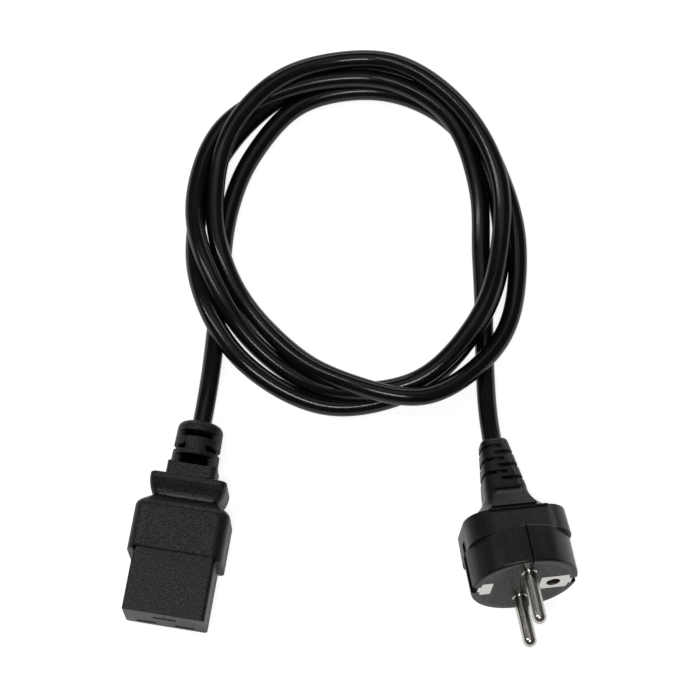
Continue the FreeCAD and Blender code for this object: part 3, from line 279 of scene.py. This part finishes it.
# %%
CORD_RADIUS = mm(3.4)
TOUCH = 0.93  # distance kept at a crossing before smoothing, in cord diameters
SAME_STRAND = 4  # places closer along the cord than this many such distances don't count
HUMP_SLOPE = 0.2  # steepest fall beside a crossing, before smoothing
SMOOTHING_PASSES = 4
PER_KNOT = 4  # points of the line to each interval between its knots
MIDDLE = mm(41.7, 119.5, 0)
START_ANGLE = 210  # degrees
STEP = 30  # degrees
TURNS = (
    ((53, 0.5), (47.5, 1), (49.2, 1), (55.6, 1), (57.3, 1), (56, 1),
     (54, 1), (54, 1), (57.5, 1.5), (63.5, 2), (67.5, 2), (65.5, 2)),
    ((61, 1.5), (58.3, 1), (58.8, 1.1), (62, 1.2), (64.6, 1.1), (61, 1),
     (57, 2), (60, 3), (67.5, 5), (69.5, 5), (58, 5), (50, 5)),
    ((49.5, 5), (52.5, 5), (59.5, 5), (64.5, 5.5), (66, 6), (59.5, 6),
     (55.5, 6), (53, 6), (57, 4.5), (62.5, 4), (61.5, 4), (57.5, 3.8)),
    ((56, 3.5), (60, 3), (64, 3), (60.5, 3), (59.5, 3), (55, 3),
     (48, 3), (46.5, 0.9)),
)
FROM_CONNECTOR = (
    ((0, 35.75, 12.2), 0), ((0, 44, 12.1), 0), ((-0.4, 53, 10.4), 0),
    ((-1.1, 63, 6.4), 0), ((-2.0, 73, 3.8), 0), ((-3.0, 83, 3.4), 0),
)
TO_PLUG = (
    ((91.8, 101.2, 3.4), 0.4), ((94.5, 85, 3.4), 0.3), ((96.6, 73, 3.9), 0.2),
    ((98.8, 61.5, 5.9), 0.1), ((100.6, 53.8, 8.1), 0),
)
PLUG_EXIT = (102.8, 46.6, 9.7)


def turn_points():
    """Places of the turns, as (x, y, lowest height, order)."""
    places = [place for turn in TURNS for place in turn]
    for number, (radius, order) in enumerate(places):
        angle = math.radians(START_ANGLE - STEP * number)
        x = MIDDLE.x + mm(radius) * math.cos(angle)
        y = MIDDLE.y + mm(radius) * math.sin(angle)
        yield x, y, CORD_RADIUS, order


def smooth_line(knots, per_knot):
    """Points of a Catmull-Rom line through the knots, per_knot to each interval."""
    last = len(knots) - 1
    points = []
    for i in range(last):
        a, b, c, d = knots[max(i - 1, 0)], knots[i], knots[i + 1], knots[min(i + 2, last)]
        for t in np.linspace(0, 1, per_knot, endpoint=False):
            points.append(0.5 * (2 * b + (c - a) * t + (2 * a - 5 * b + 4 * c - d) * t**2
                                 + (3 * b - a - 3 * c + d) * t**3))
    points.append(knots[last])
    return np.array(points)


def settle(line, order):
    """Heights that lift the line over lower-placed parts of itself, in long humps."""
    flat = line[:, :2]
    steps = np.linalg.norm(np.diff(flat, axis=0), axis=1)
    along = np.concatenate([[0], np.cumsum(steps)])
    gap = np.linalg.norm(flat[:, None] - flat[None], axis=2)
    reach = 2 * CORD_RADIUS * TOUCH
    between = np.abs(along[:, None] - along[None])
    apart = between > SAME_STRAND * reach
    over = (gap < reach) & apart & (order[:, None] > order[None])
    lift = np.sqrt(np.clip(reach**2 - gap**2, 0, None))
    floor = line[:, 2]
    height = floor.copy()
    for level in np.unique(order):
        now = order == level
        below = np.where(over, height[None] + lift, 0).max(axis=1)
        rest = np.maximum(floor, below)
        spread = (rest[None] - HUMP_SLOPE * between).max(axis=1)
        height = np.where(now, spread, height)
    for _ in range(SMOOTHING_PASSES):
        height[1:-1] = (height[:-2] + 2 * height[1:-1] + height[2:]) / 4
    return np.maximum(height, floor)


knots = [(*mm(*place), order) for place, order in FROM_CONNECTOR]
knots += list(turn_points())
knots += [(*mm(*place), order) for place, order in TO_PLUG]
knots.append((*mm(*PLUG_EXIT), 0))
fine = smooth_line(np.array(knots, float), PER_KNOT)
fine[:, 2] = settle(fine[:, :3], fine[:, 3])
route = [mm(*place) for place, _ in FROM_CONNECTOR[:2]]
route += [Vector(point[:3]) for point in fine[2 * PER_KNOT : -2 * PER_KNOT]]
route += [mm(*TO_PLUG[-1][0]), mm(*PLUG_EXIT)]


def cord_curve(name, points, radius, material):
    """Round cord along a NURBS line."""
    curve = bpy.data.curves.new(name, "CURVE")
    curve.dimensions = "3D"
    curve.bevel_depth = radius
    curve.bevel_resolution = 6
    curve.resolution_u = 6
    spline = curve.splines.new("NURBS")
    spline.points.add(len(points) - 1)
    for place, point in zip(spline.points, points):
        place.co = (*point, 1.0)
    spline.order_u = 3
    spline.use_endpoint_u = True
    curve.materials.append(material)
    obj = bpy.data.objects.new(name, curve)
    bpy.context.collection.objects.link(obj)
    return obj


cord = cord_curve("cord", route, CORD_RADIUS, finishes["jacket"])
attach(cord, "root")
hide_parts("connector_tail", "cord_coil", "plug_tail")

# %% [markdown]
# ## Ground, light and camera
# The ground is white and keeps faint shadows close to the lead. It glows by `GROUND_SEEN` for the
# camera and by `GROUND_MIRRORED` in reflections, and the dim room round it has the brightness
# `ROOM_LEVEL`. Two strips draw the narrow highlights on the cord, and two softboxes
# give the broad sheen. The camera looks steeply down at the lead.


# %%
GROUND_SEEN = 0.78
GROUND_MIRRORED = 0.34
GROUND_REACH = 6.0
GROUND_DROP = mm(0.3)  # keeps the ground just below the lead
ROOM_LEVEL = 0.06
LOOK_AT = mm(46.7, 75.9, 0)
CAMERA_PLACE = mm(92.2, -201.4, 864.5)
FOCAL_LENGTH_MM = 128.6
SENSOR_WIDTH_MM = 36


def white_ground():
    """Large plane under the object, plain white to the camera with its shadows kept."""
    mesh = bpy.data.meshes.new("ground")
    signs = ((-1, -1), (1, -1), (1, 1), (-1, 1))
    corners = [Vector((x * GROUND_REACH, y * GROUND_REACH, 0)) for x, y in signs]
    mesh.from_pydata(corners, [], [(0, 1, 2, 3)])
    ground = bpy.data.objects.new("ground", mesh)
    bpy.context.collection.objects.link(ground)
    material, tree, _ = new_material("white paper ground")
    paper = add(tree, "ShaderNodeBsdfDiffuse", {"Color": linear("#e6e6e6")})
    ray = add(tree, "ShaderNodeLightPath")
    mirrored = add(tree, "ShaderNodeMapRange", {
        "Value": ray.outputs["Is Glossy Ray"], "To Min": 0.0, "To Max": GROUND_MIRRORED})
    seen = add(tree, "ShaderNodeMapRange", {
        "Value": ray.outputs["Is Camera Ray"], "To Min": 0.0, "To Max": GROUND_SEEN})
    level = add(tree, "ShaderNodeMath", {0: mirrored.outputs["Result"], 1: seen.outputs["Result"]},
                operation="MAXIMUM")
    glow = add(tree, "ShaderNodeEmission", {
        "Color": linear("#ffffff"), "Strength": level.outputs["Value"]})
    shader = add(tree, "ShaderNodeAddShader", {0: paper.outputs[0], 1: glow.outputs[0]})
    finish_material(tree, shader)
    mesh.materials.append(material)
    ground.location.z = -GROUND_DROP
    return ground


def soft_light(name, place, target, width, height, power):
    """Rectangular area light of the given size in metres and power in watts, facing its target."""
    light = bpy.data.lights.new(name, "AREA")
    light.shape = "RECTANGLE"
    light.size = width
    light.size_y = height
    light.energy = power
    obj = bpy.data.objects.new(name, light)
    obj.location = place
    obj.rotation_euler = (Vector(target) - Vector(place)).to_track_quat("-Z", "Y").to_euler()
    bpy.context.collection.objects.link(obj)
    return obj


ground = white_ground()
lights = [
    soft_light("camera-side strip", (0.1, -0.38, 1.25), LOOK_AT, 0.5, 0.07, 4.0),
    soft_light("left strip", (-0.75, 0.1, 1.1), LOOK_AT, 0.07, 1.0, 2.7),
    soft_light("overhead softbox", (-0.1, 0.45, 1.3), LOOK_AT, 1.1, 0.7, 0.9),
    soft_light("back softbox", (0.1, 1.6, 0.55), LOOK_AT, 2.0, 0.35, 5.0),
]
world = bpy.data.worlds.new("studio")
bpy.context.scene.world = world
world.use_nodes = True
world.node_tree.nodes.clear()
ray = add(world.node_tree, "ShaderNodeLightPath")
level = add(world.node_tree, "ShaderNodeMapRange", {
    "Value": ray.outputs["Is Camera Ray"], "To Min": ROOM_LEVEL, "To Max": 1.0})
sky = add(world.node_tree, "ShaderNodeBackground", {
    "Color": linear("#ffffff"), "Strength": level.outputs["Result"]})
world_output = add(world.node_tree, "ShaderNodeOutputWorld")
world.node_tree.links.new(sky.outputs[0], world_output.inputs["Surface"])

camera_data = bpy.data.cameras.new("camera")
camera_data.lens = FOCAL_LENGTH_MM
camera_data.sensor_width = SENSOR_WIDTH_MM
camera = bpy.data.objects.new("camera", camera_data)
camera.location = CAMERA_PLACE
camera.rotation_euler = (LOOK_AT - camera.location).to_track_quat("-Z", "Y").to_euler()
bpy.context.collection.objects.link(camera)
scene = bpy.context.scene
scene.camera = camera
scene.view_settings.view_transform = "Standard"
print("lights:", len(lights))
